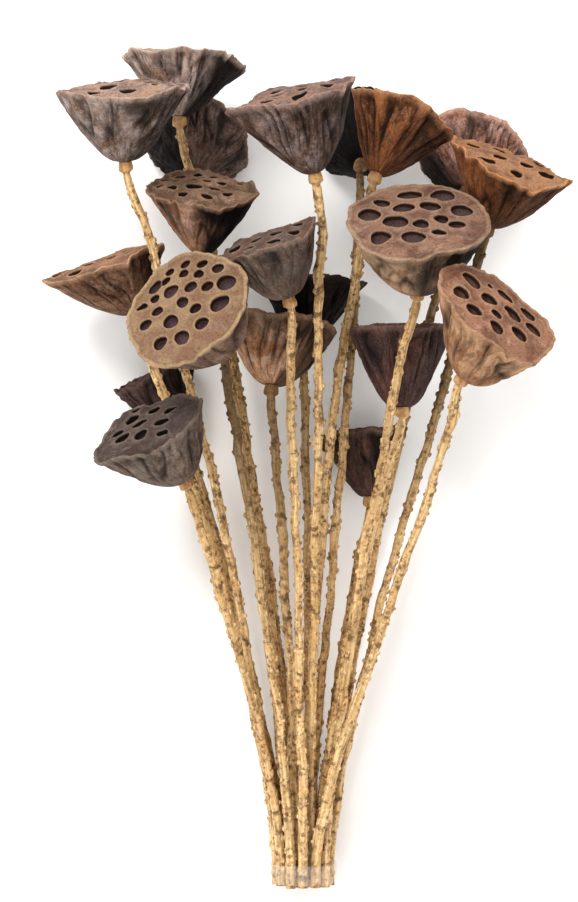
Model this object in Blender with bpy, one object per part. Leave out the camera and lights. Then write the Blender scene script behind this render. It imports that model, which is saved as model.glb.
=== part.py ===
"""A bunch of twenty dried lotus seed pods lying on a flat surface, tied at the foot with a clear band.

Units are metres, with +Z up. The bunch lies along +Y, with the cut ends of its stems at the low end.
Each pod is two pieces: the seed head with its empty sockets, and the stem it grew on.
"""

import math
from collections import namedtuple

import bmesh
import bpy
from mathutils import Vector

MM = 0.001
GAP = 0.3 * MM

# The tie and the bundle of stems at the foot.
FOOT_HEIGHT = 21.5 * MM
BAND_INNER_RADIUS = 20.7 * MM
BAND_OUTER_RADIUS = 21.6 * MM
BAND_START = 3 * MM
BAND_LENGTH = 12 * MM
BAND_SIDES = 32
RING_COUNTS = (1, 6, 13)
RING_RADII = (0.0, 8.0 * MM, 16.6 * MM)

# The stems.
STRAIGHT_LENGTH = 16 * MM
SPREAD_EASE = 25 * MM
SPREAD_SCALE = 400 * MM
STEM_FOOT_RADIUS = 3.6 * MM
STEM_TOP_RADIUS = 3.1 * MM
STEM_SIDES = 6
STEM_STEPS = 6
NECK_STEPS = 5
COLLAR_RADIUS = 4.7 * MM
COLLAR_LENGTH = 7 * MM

# The seed heads.
NECK_RADIUS = 5 * MM
HEAD_SIDES = 16
HEAD_LEVELS = (0.0, 0.12, 0.38, 0.7, 0.94)
FACE_RING = 0.88
FACE_RISE = 1.0 * MM
DOME_RISE = 2.5 * MM
RIM_WAVE = 1.5 * MM
SOCKET_DEPTH = 6 * MM
SOCKET_SIDES = 6

# Where each pod lies, in millimetres and degrees. centre is the middle of the seed head's face, lean turns
# the head to the left of +Y, tilt lifts its face upwards, flare shapes the side from the neck to the rim, and
# skew is how far the neck sits to one side of the face. place is the stem's ring and position in the tied
# foot. sway bends the stem sideways and upwards, and bend is the length over which it turns into the neck.
Pod = namedtuple("Pod", "centre lean tilt radius height flare skew place sway bend colour sockets")

PODS = (
    Pod((-106, 485, 134), 3, 13, 39, 42, 0.62, -2, (2, 10), (0, 0), 45, "grey_brown", "ringed"),
    Pod((-73, 510, 74), -4, -1, 39, 34, 0.85, 0, (1, 3), (0, 0), 45, "grey_brown", "ringed"),
    Pod((-66, 466, 16.5), 0, -55, 32, 38, 0.70, 0, (2, 7), (0, 0), 45, "black_brown", "ringed"),
    Pod((-61, 428, 114), -2, 24, 32, 40, 0.80, 1.5, (1, 4), (0, 0), 45, "warm_brown", "pitted"),
    Pod((-122, 386, 72), 18, 8, 39, 34, 0.75, 8, (2, 9), (0, 0), 45, "mauve_brown", "ringed"),
    Pod((-68, 355, 166), 35, 48, 39, 42, 0.50, 3, (2, 12), (0, 0), 45, "tan", "crowded"),
    Pod((-21.5, 396, 143), 20, 13, 29, 36, 0.55, 0, (2, 0), (0, 0), 45, "mauve_brown", "ringed"),
    Pod((-7, 480, 149), 14, 12, 38, 47, 0.75, 2, (1, 0), (3, 11), 90, "grey_brown", "ringed"),
    Pod((37, 470, 27), -5, -55, 31, 36, 0.70, 0, (1, 2), (6, 21), 45, "black_brown", "ringed"),
    Pod((60, 475, 88), -24, -12, 34, 40, 0.80, 0, (0, 0), (-5, 1), 45, "warm_brown", "ringed"),
    Pod((107, 457, 20.9), -15, -50, 34, 36, 0.70, 0, (2, 4), (0, 17), 45, "mauve_brown", "ringed"),
    Pod((124, 443, 116), -20, 18, 38, 40, 0.75, 0, (2, 3), (6, 0), 45, "warm_brown", "ringed"),
    Pod((66, 406, 157), 0, 33, 43, 46, 0.55, 1, (2, 2), (0, 0), 45, "pink_tan", "broad"),
    Pod((110, 351, 186), -40, 31, 38, 44, 0.60, 9.5, (2, 1), (8, 0), 45, "pink_tan", "slanted"),
    Pod((58, 345, 85), 2, -3, 30, 46, 0.55, 0, (1, 1), (0, 0), 45, "dark_plum", "ringed"),
    Pod((-14, 349, 82), -8, -12, 34, 38, 0.60, 0, (1, 5), (0, 0), 45, "mauve_brown", "ringed"),
    Pod((4, 379, 37.4), -4, 0, 35, 44, 1.00, 0, (2, 6), (0, 0), 45, "black_brown", "ringed"),
    Pod((38, 283, 24.7), 5, -3, 26, 39, 0.70, 0, (2, 5), (0, 0), 45, "dark_plum", "ringed"),
    Pod((-93, 286, 112), 29, 23, 36, 40, 0.60, 3, (2, 11), (0, 0), 45, "dark_grey", "sparse"),
    Pod((-93, 319, 26.6), 28, 0, 27, 38, 0.70, 0, (2, 8), (0, 0), 45, "dark_plum", "ringed"),
)

# The sockets of the five faces that differ most, as across, up and radius on the face in millimetres.
SOCKETS = {
    "crowded": (
        (-8, 28, 4.5), (4, 30, 3), (14, 27, 3), (22, 20, 3), (28, 11, 3.5), (27, -3, 5.5),
        (-1, 25, 3), (10, 21, 3), (17, 14, 3), (9, 9, 3.5), (17, 2, 3.5), (-12, 20, 3),
        (-2, 15, 4.5), (17, -14, 5.5), (0, 3, 3.5), (4, -7, 3.5), (-21, 20, 3), (-15, 9, 3.5),
        (-12, -5, 4.5), (-25, 5, 3.5), (2, -20, 4), (-12, -20, 4.5), (-24, -13, 4),
    ),
    "broad": (
        (-3.5, 30, 6.5), (15.5, 26, 6.5), (-20.5, 20, 5), (-8, 11, 6), (7.5, 12.5, 5.5), (26, 10, 6.5),
        (-28, 2.5, 6.5), (-13, -6, 6.5), (1.5, -8.5, 4.5), (13.5, -1, 4.5), (22.5, -7.5, 4.5),
        (11.5, -17.5, 4), (-22, -21.5, 6), (-3.5, -23.5, 6.5),
    ),
    "pitted": (
        (-22, 12, 2.8), (-13, 17, 3), (-3, 21, 2.8), (7, 18, 2.8), (16, 16, 3), (23, 8, 2.8),
        (-24, 1, 2.8), (-15, 6, 2.8), (-6, 11, 2.8), (3, 9, 2.8), (12, 6, 2.8), (22, -2, 2.8),
        (-17, -7, 2.8), (-4, -5, 5), (8, -5, 3), (16, -11, 2.8), (-10, -17, 2.8), (4, -18, 3),
    ),
    "slanted": (
        (-23, 6, 5.5), (-23, -11, 5), (-8.5, 2, 5), (-2.5, 17, 5), (-11.5, -19, 5), (0, -8, 3.5),
        (7.5, 6, 5.5), (14.5, 21, 5), (4.5, -20, 5), (17, -6.5, 5), (22, 9, 5), (-12.5, 16, 2),
    ),
    "sparse": (
        (-6, 18, 4.5), (-18, 12, 4.5), (-3, 5, 4.5), (-16, -2, 4.5), (-5, -12, 4.5), (17, 4, 4),
        (9, -8, 4), (8, 16, 4), (-2, 28, 3), (7, -21, 3),
    ),
}

COLOURS = {
    "grey_brown": (0.150, 0.112, 0.098),
    "black_brown": (0.035, 0.027, 0.025),
    "warm_brown": (0.165, 0.085, 0.048),
    "mauve_brown": (0.160, 0.098, 0.085),
    "tan": (0.440, 0.290, 0.185),
    "pink_tan": (0.350, 0.205, 0.150),
    "dark_plum": (0.070, 0.043, 0.041),
    "dark_grey": (0.105, 0.085, 0.080),
}
STEM_COLOUR = (0.540, 0.350, 0.160)
BAND_COLOUR = (0.930, 0.930, 0.910)


def clear_scene():
    for obj in list(bpy.data.objects):
        bpy.data.objects.remove(obj, do_unlink=True)


def make_material(name, colour, roughness):
    material = bpy.data.materials.new(name)
    material.use_nodes = True
    shader = material.node_tree.nodes["Principled BSDF"]
    shader.inputs["Base Color"].default_value = (*colour, 1.0)
    shader.inputs["Roughness"].default_value = roughness
    shader.inputs["Metallic"].default_value = 0.0
    material.diffuse_color = (*colour, 1.0)
    return material


def make_object(name, mesh, material=None):
    obj = bpy.data.objects.new(name, mesh)
    bpy.context.scene.collection.objects.link(obj)
    if material:
        mesh.materials.append(material)
    return obj


def finish_mesh(name, bm):
    """Turns the faces outwards and stores the mesh."""
    bmesh.ops.recalc_face_normals(bm, faces=bm.faces)
    mesh = bpy.data.meshes.new(name)
    bm.to_mesh(mesh)
    bm.free()
    return mesh


def ring_of(bm, points):
    return [bm.verts.new(point) for point in points]


def bridge(bm, lower, upper):
    """Joins two rings of the same number of vertices with a band of quads."""
    count = len(lower)
    for i in range(count):
        j = (i + 1) % count
        bm.faces.new((lower[i], lower[j], upper[j], upper[i]))


def head_axes(pod):
    """Returns the directions across the face, up the face and out of it."""
    lean = math.radians(pod.lean)
    tilt = math.radians(pod.tilt)
    out = Vector((-math.sin(lean) * math.cos(tilt), math.cos(lean) * math.cos(tilt), math.sin(tilt)))
    across = Vector((math.cos(lean), math.sin(lean), 0.0))
    return across, out.cross(across), out


def neck_point(pod):
    across, _, out = head_axes(pod)
    return Vector(pod.centre) * MM - out * pod.height * MM + across * pod.skew * MM


def rim_lobes(angle, phase):
    """The rim is not round: it has two, three and five shallow lobes."""
    broad = 0.035 * math.cos(2 * angle + phase)
    middle = 0.025 * math.cos(3 * angle + 2 * phase)
    fine = 0.018 * math.cos(5 * angle + 3 * phase)
    return 1.0 + broad + middle + fine


def head_mesh(name, pod, phase):
    across, up, out = head_axes(pod)
    neck = neck_point(pod)
    height = pod.height * MM
    rim_radius = pod.radius * MM
    offset = across * pod.skew * MM

    def ring_points(level, radius, lobed, rise=0.0, wave=0.0):
        points = []
        for i in range(HEAD_SIDES):
            angle = 2 * math.pi * i / HEAD_SIDES
            lobe = 1.0 + lobed * (rim_lobes(angle, phase) - 1.0)
            spoke = across * math.cos(angle) + up * math.sin(angle)
            lift = level * height + rise + wave * math.cos(3 * angle + phase)
            points.append(neck - offset * level + out * lift + spoke * radius * lobe)
        return points

    bm = bmesh.new()
    rings = []
    for level in HEAD_LEVELS:
        radius = NECK_RADIUS + (rim_radius - NECK_RADIUS) * level ** pod.flare
        rings.append(ring_of(bm, ring_points(level, radius, level)))
    rings.append(ring_of(bm, ring_points(1.0, rim_radius, 1.0, 0.0, RIM_WAVE)))
    rings.append(ring_of(bm, ring_points(1.0, rim_radius * FACE_RING, 1.0, FACE_RISE, RIM_WAVE / 2)))
    for lower, upper in zip(rings, rings[1:]):
        bridge(bm, lower, upper)
    bm.faces.new(rings[0])
    middle = bm.verts.new(neck - offset + out * (height + DOME_RISE))
    for i in range(HEAD_SIDES):
        bm.faces.new((rings[-1][i], rings[-1][(i + 1) % HEAD_SIDES], middle))
    return finish_mesh(name, bm)


def socket_places(pod):
    """Lists the sockets of a face as across, up and radius in millimetres."""
    if pod.sockets in SOCKETS:
        return SOCKETS[pod.sockets]
    places = []
    for count, distance in ((4, 0.30), (8, 0.68)):
        for i in range(count):
            angle = 2 * math.pi * (i + 0.3) / count + distance
            size = pod.radius * (0.115 + 0.02 * math.sin(2.4 * i + pod.lean))
            reach = pod.radius * distance
            places.append((reach * math.cos(angle), reach * math.sin(angle), size))
    return places


def socket_cutter(name, pod):
    """One prism for each socket, from the socket's floor to above the face."""
    across, up, out = head_axes(pod)
    centre = Vector(pod.centre) * MM
    bm = bmesh.new()
    for x, y, radius in socket_places(pod):
        floor = centre + (across * x + up * y) * MM - out * SOCKET_DEPTH
        spokes = []
        for i in range(SOCKET_SIDES):
            angle = 2 * math.pi * i / SOCKET_SIDES
            spokes.append((across * math.cos(angle) + up * math.sin(angle)) * radius * MM)
        low = ring_of(bm, [floor + spoke * 0.8 for spoke in spokes])
        high = ring_of(bm, [floor + spoke * 1.1 + out * (SOCKET_DEPTH + DOME_RISE * 2) for spoke in spokes])
        bridge(bm, low, high)
        bm.faces.new(low)
        bm.faces.new(high)
    cutter = make_object(name, finish_mesh(name, bm))
    cutter.display_type = "WIRE"
    cutter.hide_render = True
    return cutter


def build_head(number, pod, material):
    """A bell-shaped seed head, grown solid, with an open socket for each seed it has dropped."""
    name = f"pod_head_{number:02d}"
    head = make_object(name, head_mesh(name, pod, 1.7 * number), material)
    cut = head.modifiers.new("seed_sockets", "BOOLEAN")
    cut.operation = "DIFFERENCE"
    cut.solver = "EXACT"
    cut.object = socket_cutter(f"{name}_sockets", pod)
    return head


def spread(along):
    """How far the bunch has opened at this distance from the foot: nothing inside the tie, then ever more."""
    free = max(along - STRAIGHT_LENGTH, 0.0)
    return free * free / (free + SPREAD_EASE) * (0.6 + 0.4 * free / SPREAD_SCALE)


def foot_point(pod):
    ring, position = pod.place
    offset = 0.5 if ring == 1 else 0.0
    angle = 2 * math.pi * (position + offset) / RING_COUNTS[ring]
    reach = RING_RADII[ring]
    return Vector((reach * math.sin(angle), 0.0, FOOT_HEIGHT + reach * math.cos(angle)))


def stem_path(pod):
    """Points from the cut end to just under the seed head."""
    foot = foot_point(pod)
    out = head_axes(pod)[2]
    neck = neck_point(pod)
    sway_x, sway_z = pod.sway

    def at(along):
        share = spread(along) / spread(neck.y)
        part = along / neck.y
        swell = 6.75 * part * part * (1.0 - part) * MM
        x = foot.x + (neck.x - foot.x) * share + sway_x * swell
        z = foot.z + (neck.z - foot.z) * share + sway_z * swell
        return Vector((x, along, z))

    bend_start = neck.y - pod.bend * MM * max(0.35, abs(out.y))
    free = bend_start - STRAIGHT_LENGTH
    points = [at(0.0), at(STRAIGHT_LENGTH)]
    for i in range(1, STEM_STEPS):
        points.append(at(STRAIGHT_LENGTH + free * i / STEM_STEPS))
    start = at(bend_start)
    end = neck - out * GAP
    heading = (at(bend_start + MM) - at(bend_start - MM)).normalized()
    reach = (end - start).length
    for i in range(NECK_STEPS + 1):
        t = i / NECK_STEPS
        keep = 2 * t**3 - 3 * t**2 + 1
        point = start * keep + end * (1.0 - keep)
        point += heading * reach * (t**3 - 2 * t**2 + t) + out * reach * (t**3 - t**2)
        points.append(point)
    return points


def build_stem(number, pod, material):
    """A round stem, slightly tapered, that swells into a collar under the seed head."""
    name = f"stem_{number:02d}"
    points = stem_path(pod)
    out = head_axes(pod)[2]
    collar = points[-1] - out * COLLAR_LENGTH
    last = len(points) - 1
    bm = bmesh.new()
    rings = []
    side = Vector((1.0, 0.0, 0.0))
    for i, point in enumerate(points):
        before = points[max(i - 1, 0)]
        after = points[min(i + 1, last)]
        heading = out if i == last else (after - before).normalized()
        side = (side - heading * side.dot(heading)).normalized()
        over = heading.cross(side)
        radius = STEM_FOOT_RADIUS + (STEM_TOP_RADIUS - STEM_FOOT_RADIUS) * i / last
        if (point - collar).length < COLLAR_LENGTH * 0.6 or i == last:
            radius = COLLAR_RADIUS
        spokes = []
        for k in range(STEM_SIDES):
            angle = 2 * math.pi * k / STEM_SIDES
            spokes.append(point + (side * math.cos(angle) + over * math.sin(angle)) * radius)
        rings.append(ring_of(bm, spokes))
    for lower, upper in zip(rings, rings[1:]):
        bridge(bm, lower, upper)
    bm.faces.new(rings[0])
    bm.faces.new(rings[-1])
    return make_object(name, finish_mesh(name, bm), material)


def build_band(material):
    """The clear band that holds the foot of the bunch."""
    bm = bmesh.new()
    rings = []
    for along, radius in (
        (BAND_START, BAND_INNER_RADIUS),
        (BAND_START, BAND_OUTER_RADIUS),
        (BAND_START + BAND_LENGTH, BAND_OUTER_RADIUS),
        (BAND_START + BAND_LENGTH, BAND_INNER_RADIUS),
    ):
        points = []
        for i in range(BAND_SIDES):
            angle = 2 * math.pi * (i + 0.5) / BAND_SIDES
            points.append((radius * math.sin(angle), along, FOOT_HEIGHT + radius * math.cos(angle)))
        rings.append(ring_of(bm, points))
    for i in range(4):
        bridge(bm, rings[i], rings[(i + 1) % 4])
    return make_object("tie_band", finish_mesh("tie_band", bm), material)


def rest_on_origin(objects):
    """Moves the bunch so that it lies on Z = 0 with its middle over the origin."""
    bpy.context.view_layer.update()
    corners = []
    for obj in objects:
        corners += [obj.matrix_world @ vertex.co for vertex in obj.data.vertices]
    low = [min(corner[i] for corner in corners) for i in range(3)]
    high = [max(corner[i] for corner in corners) for i in range(3)]
    shift = Vector(((low[0] + high[0]) / -2, (low[1] + high[1]) / -2, -low[2]))
    for obj in bpy.data.objects:
        obj.location += shift


def main():
    clear_scene()
    heads = {name: make_material(f"head_{name}", colour, 0.85) for name, colour in COLOURS.items()}
    stem_material = make_material("stem_tan", STEM_COLOUR, 0.8)
    band_material = make_material("band_clear", BAND_COLOUR, 0.15)
    objects = [build_band(band_material)]
    for number, pod in enumerate(PODS, 1):
        objects.append(build_head(number, pod, heads[pod.colour]))
        objects.append(build_stem(number, pod, stem_material))
    for obj in objects:
        obj.data.shade_smooth()
        obj.data.set_sharp_from_angle(angle=math.radians(40))
    rest_on_origin(objects)


main()
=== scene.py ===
"""The looks of a tied bunch of dried lotus seed pods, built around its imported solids.

Units are metres, with +Z up. The bunch lies on the floor along +Y and the camera looks straight down on it.
Each seed head, stem and the clear band gets a detailed piece that replaces its plain solid.
"""

import math
from collections import namedtuple

import bpy
import numpy as np
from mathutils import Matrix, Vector
from mathutils.geometry import delaunay_2d_cdt


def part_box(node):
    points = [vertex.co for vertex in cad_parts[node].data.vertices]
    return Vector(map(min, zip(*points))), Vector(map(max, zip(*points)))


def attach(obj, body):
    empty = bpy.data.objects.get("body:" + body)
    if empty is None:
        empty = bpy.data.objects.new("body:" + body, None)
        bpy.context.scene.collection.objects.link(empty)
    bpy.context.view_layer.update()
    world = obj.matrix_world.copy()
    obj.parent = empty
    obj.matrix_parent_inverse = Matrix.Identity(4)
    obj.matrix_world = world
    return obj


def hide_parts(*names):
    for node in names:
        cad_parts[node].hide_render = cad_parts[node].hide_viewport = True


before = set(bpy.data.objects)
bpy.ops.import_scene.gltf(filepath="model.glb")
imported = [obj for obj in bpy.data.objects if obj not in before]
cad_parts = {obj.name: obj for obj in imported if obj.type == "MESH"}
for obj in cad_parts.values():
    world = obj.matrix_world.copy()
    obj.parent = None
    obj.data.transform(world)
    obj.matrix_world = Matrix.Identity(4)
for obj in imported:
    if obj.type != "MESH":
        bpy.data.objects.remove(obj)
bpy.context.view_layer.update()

MM = 0.001
MM_PER_METRE = 1000
SEED = 20

# ---- the bunch, as its solids have it

FOOT_HEIGHT = 21.5 * MM
BAND_INNER_RADIUS = 20.7 * MM
BAND_OUTER_RADIUS = 21.6 * MM
BAND_START = 3 * MM
BAND_LENGTH = 12 * MM
RING_COUNTS = (1, 6, 13)
RING_RADII = (0.0, 8.0 * MM, 16.6 * MM)
STRAIGHT_LENGTH = 16 * MM
SPREAD_EASE = 25 * MM
SPREAD_SCALE = 400 * MM
# The steps of a stem's line up to its bend under the head, and through the bend.
STEM_STEPS = 160
BEND_STEPS = 40
LEAST_BEND = 0.35
# Brings the highest value of t * t * (1 - t), which the sway follows, to 1.
SWAY_GAIN = 6.75
STEM_FOOT_RADIUS = 3.15 * MM
STEM_TOP_RADIUS = 2.55 * MM
COLLAR_RADIUS = 4.7 * MM
NECK_RADIUS = 5 * MM
FACE_RISE = 1.0 * MM
DOME_RISE = 2.0 * MM
GAP = 0.3 * MM
FLOOR_GAP = 0.2 * MM

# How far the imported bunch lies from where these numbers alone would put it.
band_low, band_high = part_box("tie_band")
BAND_MIDDLE = Vector((0, BAND_START + BAND_LENGTH / 2, FOOT_HEIGHT))
SHIFT = (Vector(band_low) + Vector(band_high)) / 2 - BAND_MIDDLE

# Millimetres and degrees, as the solids have them. The centre is the face's, flare is the power of the bell's
# curve, place is a stem's ring and number in the bundle, and bend is the length of its curve under the head.
POD_FIELDS = "centre lean tilt radius height flare skew place sway bend sockets"
Pod = namedtuple("Pod", POD_FIELDS, defaults=((0, 0), 45, "ringed"))

PODS = (
    Pod((-106, 485, 134), 3, 13, 39, 42, 0.62, -2, (2, 10)),
    Pod((-73, 510, 74), -4, -1, 39, 34, 0.85, 0, (1, 3)),
    Pod((-66, 466, 16.5), 0, -55, 32, 38, 0.70, 0, (2, 7)),
    Pod((-61, 428, 114), -2, 24, 32, 40, 0.80, 1.5, (1, 4), sockets="pitted"),
    Pod((-122, 386, 72), 18, 8, 39, 34, 0.75, 8, (2, 9)),
    Pod((-68, 355, 166), 35, 48, 39, 42, 0.50, 3, (2, 12), sockets="crowded"),
    Pod((-21.5, 396, 143), 20, 13, 29, 36, 0.55, 0, (2, 0)),
    Pod((-7, 480, 149), 14, 12, 38, 47, 0.75, 2, (1, 0), (3, 11), 90),
    Pod((37, 470, 27), -5, -55, 31, 36, 0.70, 0, (1, 2), (6, 21)),
    Pod((60, 475, 88), -24, -12, 34, 40, 0.80, 0, (0, 0), (-5, 1)),
    Pod((107, 457, 20.9), -15, -50, 34, 36, 0.70, 0, (2, 4), (0, 17)),
    Pod((124, 443, 116), -20, 18, 38, 40, 0.75, 0, (2, 3), (6, 0)),
    Pod((66, 406, 157), 0, 33, 43, 46, 0.55, 1, (2, 2), sockets="broad"),
    Pod((110, 351, 186), -40, 31, 38, 44, 0.60, 9.5, (2, 1), (8, 0), sockets="slanted"),
    Pod((58, 345, 85), 2, -3, 30, 46, 0.55, 0, (1, 1)),
    Pod((-14, 349, 82), -8, -12, 34, 38, 0.60, 0, (1, 5)),
    Pod((4, 379, 37.4), -4, 0, 35, 44, 1.00, 0, (2, 6)),
    Pod((38, 283, 24.7), 5, -3, 26, 39, 0.70, 0, (2, 5)),
    Pod((-93, 286, 112), 29, 23, 36, 40, 0.60, 3, (2, 11), sockets="sparse"),
    Pod((-93, 319, 26.6), 28, 0, 27, 38, 0.70, 0, (2, 8)),
)

# How each pod looks: its skin, a tint over it that also paints in how lit or shaded the whole head is, the side
# of the bell that carries dark staining and painted shade as degrees round the face, how strong that staining
# and painted shade are, how many creases run down the bell and how deep they are, how torn its rim is, and how
# dark the upper part of its stem is.
Look = namedtuple("Look", "skin tint stain_side stain folds crease ragged stem_dark")

LOOKS = (
    Look("ash", (1.55, 1.72, 1.80), 0, 0.60, 9, 2.4, 1.4, 0.0),
    Look("silver", (1.14, 1.17, 1.22), 0, 0.95, 22, 2.2, 2.8, 0.1),
    Look("ash", (1.10, 1.08, 1.08), 180, 1.00, 12, 2.6, 1.8, 0.4),
    Look("umber", (1.18, 1.18, 1.20), -22, 1.00, 8, 2.2, 2.6, 0.5),
    Look("rose", (1.32, 1.34, 1.20), 10, 0.75, 17, 2.6, 1.6, 0.0),
    Look("straw", (0.74, 0.80, 0.88), -90, 0.10, 7, 1.8, 1.0, 0.9),
    Look("slate", (1.12, 1.08, 1.06), -30, 0.40, 6, 2.0, 2.0, 0.1),
    Look("ash", (1.18, 1.22, 1.28), -20, 0.40, 14, 3.0, 1.8, 0.1),
    # Head 9 lies face down under other heads, and its very dark tint is painted shade.
    Look("coal_and_painted_shade", (0.16, 0.16, 0.17), 0, 0.60, 12, 2.2, 1.6, 0.5),
    Look("bark", (1.30, 1.28, 1.22), 0, 0.60, 15, 3.6, 1.6, 0.0),
    Look("rose", (1.70, 1.72, 1.90), 130, 0.92, 15, 2.8, 1.6, 0.8),
    Look("bark", (1.22, 1.14, 1.00), -40, 0.60, 9, 2.4, 2.8, 0.9),
    Look("loam", (0.78, 0.85, 0.89), -15, 0.98, 8, 2.2, 1.0, 0.0),
    Look("loam", (0.93, 0.91, 0.87), -100, 0.12, 9, 2.0, 1.6, 0.1),
    Look("plum", (1.03, 1.00, 1.06), 0, 0.40, 9, 2.2, 1.6, 0.0),
    Look("umber", (1.25, 1.30, 1.26), 0, 0.75, 8, 2.2, 1.6, 0.6),
    # Head 17 lies low, beneath other heads, and its dark skin and tint are partly painted shade.
    Look("coal_and_painted_shade", (0.55, 0.55, 0.55), 180, 0.50, 8, 2.0, 1.4, 0.3),
    Look("plum", (1.05, 1.02, 1.00), 0, 0.30, 8, 2.2, 3.2, 0.1),
    Look("dusk", (1.00, 1.00, 1.00), 20, 0.50, 8, 2.2, 1.4, 0.1),
    # Head 20 lies in the shade of head 6, and its darker tint is painted shade.
    Look("plum", (0.70, 0.70, 0.75), 0, 0.60, 9, 2.4, 2.8, 0.2),
)

# Sockets as across, up and radius on the face, in millimetres.
SOCKETS = {
    "crowded": (
        (-8, 28, 4.5), (4, 30, 3), (14, 27, 3), (22, 20, 3), (28, 11, 3.5), (27, -3, 5.5),
        (-1, 25, 3), (10, 21, 3), (17, 14, 3), (9, 9, 3.5), (17, 2, 3.5), (-12, 20, 3),
        (-2, 15, 4.5), (17, -14, 5.5), (0, 3, 3.5), (4, -7, 3.5), (-21, 20, 3), (-15, 9, 3.5),
        (-12, -5, 4.5), (-25, 5, 3.5), (2, -20, 4), (-12, -20, 4.5), (-24, -13, 4),
    ),
    "broad": (
        (-3.5, 30, 6.5), (15.5, 26, 6.5), (-20.5, 20, 5), (-8, 11, 6), (7.5, 12.5, 5.5), (26, 10, 6.5),
        (-28, 2.5, 6.5), (-13, -6, 6.5), (1.5, -8.5, 4.5), (13.5, -1, 4.5), (22.5, -7.5, 4.5),
        (11.5, -17.5, 4), (-22, -21.5, 6), (-3.5, -23.5, 6.5),
    ),
    "pitted": (
        (-22, 12, 2.8), (-13, 17, 3), (-3, 21, 2.8), (7, 18, 2.8), (16, 16, 3), (23, 8, 2.8),
        (-24, 1, 2.8), (-15, 6, 2.8), (-6, 11, 2.8), (3, 9, 2.8), (12, 6, 2.8), (22, -2, 2.8),
        (-17, -7, 2.8), (-4, -5, 5), (8, -5, 3), (16, -11, 2.8), (-10, -17, 2.8), (4, -18, 3),
    ),
    "slanted": (
        (-23, 6, 5.5), (-23, -11, 5), (-8.5, 2, 5), (-2.5, 17, 5), (-11.5, -19, 5), (0, -8, 3.5),
        (7.5, 6, 5.5), (14.5, 21, 5), (4.5, -20, 5), (17, -6.5, 5), (22, 9, 5), (-12.5, 16, 2),
    ),
    "sparse": (
        (-6, 18, 4.5), (-18, 12, 4.5), (-3, 5, 4.5), (-16, -2, 4.5), (-5, -12, 4.5), (17, 4, 4),
        (9, -8, 4), (8, 16, 4), (-2, 28, 3), (7, -21, 3),
    ),
}

# ---- noise and small maths


def lattice(ix, iy, iz, seed):
    """A fixed value from -1 to 1 for every whole-numbered point."""
    h = (ix * 73856093) ^ (iy * 19349663) ^ (iz * 83492791) ^ (seed * 40503)
    h = ((h & 0xFFFFFFFF) ^ ((h & 0xFFFFFFFF) >> 13)) * 1274126177 & 0xFFFFFFFF
    return ((h ^ (h >> 16)) & 0xFFFF) / 32767.5 - 1.0


def noise(x, y, z, seed):
    """Smooth value noise from -1 to 1, about one feature for each unit."""
    x, y, z = np.broadcast_arrays(x, y, z)
    cell = [np.floor(v).astype(np.int64) for v in (x, y, z)]
    part = [v - c for v, c in zip((x, y, z), cell)]
    ease = [p * p * (3 - 2 * p) for p in part]
    total = 0.0
    for i in (0, 1):
        for j in (0, 1):
            for k in (0, 1):
                weight = 1.0
                for e, pick in zip(ease, (i, j, k)):
                    weight = weight * (e if pick else 1 - e)
                total = total + weight * lattice(cell[0] + i, cell[1] + j, cell[2] + k, seed)
    return total


def layered(x, y, z, seed, layers=3):
    """Noise with finer and weaker layers over it."""
    total, size = 0.0, 0.0
    for i in range(layers):
        total = total + noise(x * 2**i, y * 2**i, z * 2**i, seed + 31 * i) * 0.5**i
        size += 0.5**i
    return total / size


def ring_noise(scale, angle, z, seed):
    """Noise that closes on itself round a ring."""
    return noise(scale * np.cos(angle), scale * np.sin(angle), z, seed)


def step(low, high, x):
    """Rises smoothly from 0 at low to 1 at high."""
    t = np.clip((x - low) / (high - low), 0.0, 1.0)
    return t * t * (3 - 2 * t)


def make_object(name, points, faces, marks, material):
    """Makes a smooth mesh object. marks holds one number, or one vector, for each vertex."""
    mesh = bpy.data.meshes.new(name)
    mesh.from_pydata(points.tolist(), [], faces)
    for key, values in marks.items():
        kind, field = ("FLOAT_VECTOR", "vector") if values.ndim == 2 else ("FLOAT", "value")
        mark = mesh.attributes.new(key, kind, "POINT")
        mark.data.foreach_set(field, values.astype(np.float32).ravel())
    mesh.shade_smooth()
    mesh.materials.append(material)
    obj = bpy.data.objects.new(name, mesh)
    bpy.context.scene.collection.objects.link(obj)
    return obj


def bridge(low, high):
    """Quads between two rings of vertices."""
    pairs = [(j, (j + 1) % len(low)) for j in range(len(low))]
    return [(low[j], low[k], high[k], high[j]) for j, k in pairs]


def grid_faces(rows, columns, first=0):
    """Quads of a tube of rings, given as rows of vertices that close round."""
    rings = [range(first + i * columns, first + (i + 1) * columns) for i in range(rows)]
    return [face for low, high in zip(rings, rings[1:]) for face in bridge(low, high)]


# ---- the lie of each pod


def head_axes(pod):
    """The directions across the face, up the face and out of it."""
    lean, tilt = math.radians(pod.lean), math.radians(pod.tilt)
    level = math.cos(tilt)
    out = Vector((-math.sin(lean) * level, math.cos(lean) * level, math.sin(tilt)))
    across = Vector((math.cos(lean), math.sin(lean), 0.0))
    return across, out.cross(across), out


def neck_point(pod):
    """Where the seed head meets its stem."""
    across, _, out = head_axes(pod)
    return Vector(pod.centre) * MM - out * pod.height * MM + across * pod.skew * MM


def rim_lobes(angle, phase):
    """How far the rim is out of round, as a factor of its radius."""
    broad = 0.035 * np.cos(2 * angle + phase)
    middle = 0.025 * np.cos(3 * angle + 2 * phase)
    fine = 0.018 * np.cos(5 * angle + 3 * phase)
    return 1.0 + broad + middle + fine


def socket_places(pod):
    """Sockets of a face as across, up and radius in millimetres."""
    if pod.sockets in SOCKETS:
        return SOCKETS[pod.sockets]
    places = []
    for count, distance in ((4, 0.30), (8, 0.68)):
        for i in range(count):
            angle = 2 * math.pi * (i + 0.3) / count + distance
            size = pod.radius * (0.115 + 0.02 * math.sin(2.4 * i + pod.lean))
            reach = pod.radius * distance
            places.append((reach * math.cos(angle), reach * math.sin(angle), size))
    return places


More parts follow.
